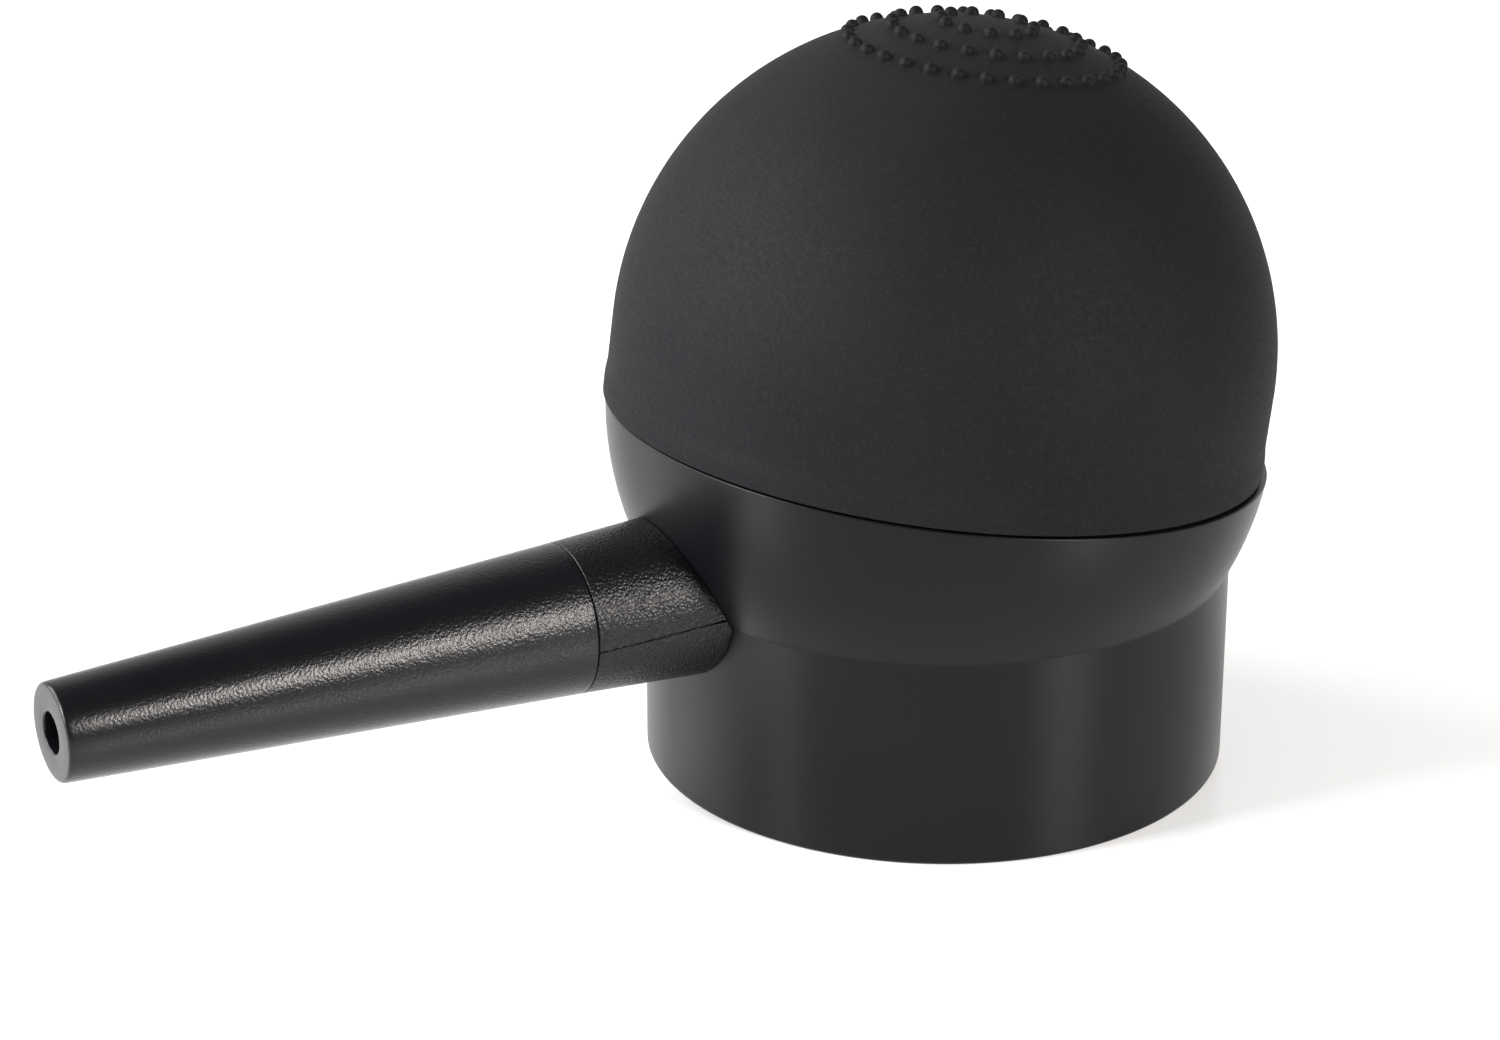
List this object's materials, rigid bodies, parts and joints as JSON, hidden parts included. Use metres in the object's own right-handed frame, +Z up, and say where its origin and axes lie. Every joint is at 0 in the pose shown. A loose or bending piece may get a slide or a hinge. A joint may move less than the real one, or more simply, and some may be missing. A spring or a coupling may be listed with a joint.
{
  "type": "squeeze bulb hand blower",
  "caption": "Hand blower with a soft squeeze bulb on a round collar, a skirt that screws onto a bottle neck and a long tapered side nozzle.",
  "frame": {"origin": "centre of the skirt's bottom rim", "axes": "+Z up along the skirt's axis, -X along the nozzle, away from the bulb's backward lean"},
  "size_m": [0.0967, 0.0504, 0.0576],
  "materials": {
    "shell_plastic": "satin, smooth moulded black",
    "bulb_silicone": "matte black silicone with a fine speckle",
    "grained_plastic": "coarse spark-eroded grain",
    "nozzle_plastic": "smooth semi-gloss",
    "inner_plastic": "plain moulded dark grey",
    "valve_silicone": "soft translucent grey silicone",
    "seal_foam": "matte foam liner"
  },
  "bodies": {
    "shell": {"outer_shell": "shell_plastic", "bulb_seat_ring": "inner_plastic", "valve_plate": "inner_plastic", "air_tube": "inner_plastic", "neck_liner": "inner_plastic", "neck_seal": "seal_foam", "outlet_elbow": "inner_plastic", "outlet_boss": "grained_plastic"},
    "bulb": {"squeeze_bulb": "bulb_silicone"},
    "delivery_valve": {"delivery_valve": "valve_silicone"},
    "intake_flap": {"intake_flap": "valve_silicone"},
    "nozzle": {"nozzle": "nozzle_plastic"}
  },
  "joints": [
    {"name": "bulb_press", "type": "slide", "parent": "shell", "child": "bulb", "axis": [-0.1323, 0, -0.9912], "range_m": [0, 0.012], "stiffness_N_per_m": 800, "deforming": ["squeeze_bulb"]},
    {"name": "nozzle_pull", "type": "slide", "parent": "shell", "child": "nozzle", "axis": [-1, 0, 0], "range_m": [0, 0.012]},
    {"name": "delivery_valve_lift", "type": "slide", "parent": "shell", "child": "delivery_valve", "axis": [0, 0, -1], "range_m": [0, 0.0006], "stiffness_N_per_m": 60},
    {"name": "intake_flap_lift", "type": "slide", "parent": "shell", "child": "intake_flap", "axis": [0, 0, 1], "range_m": [0, 0.0006], "stiffness_N_per_m": 60}
  ]
}
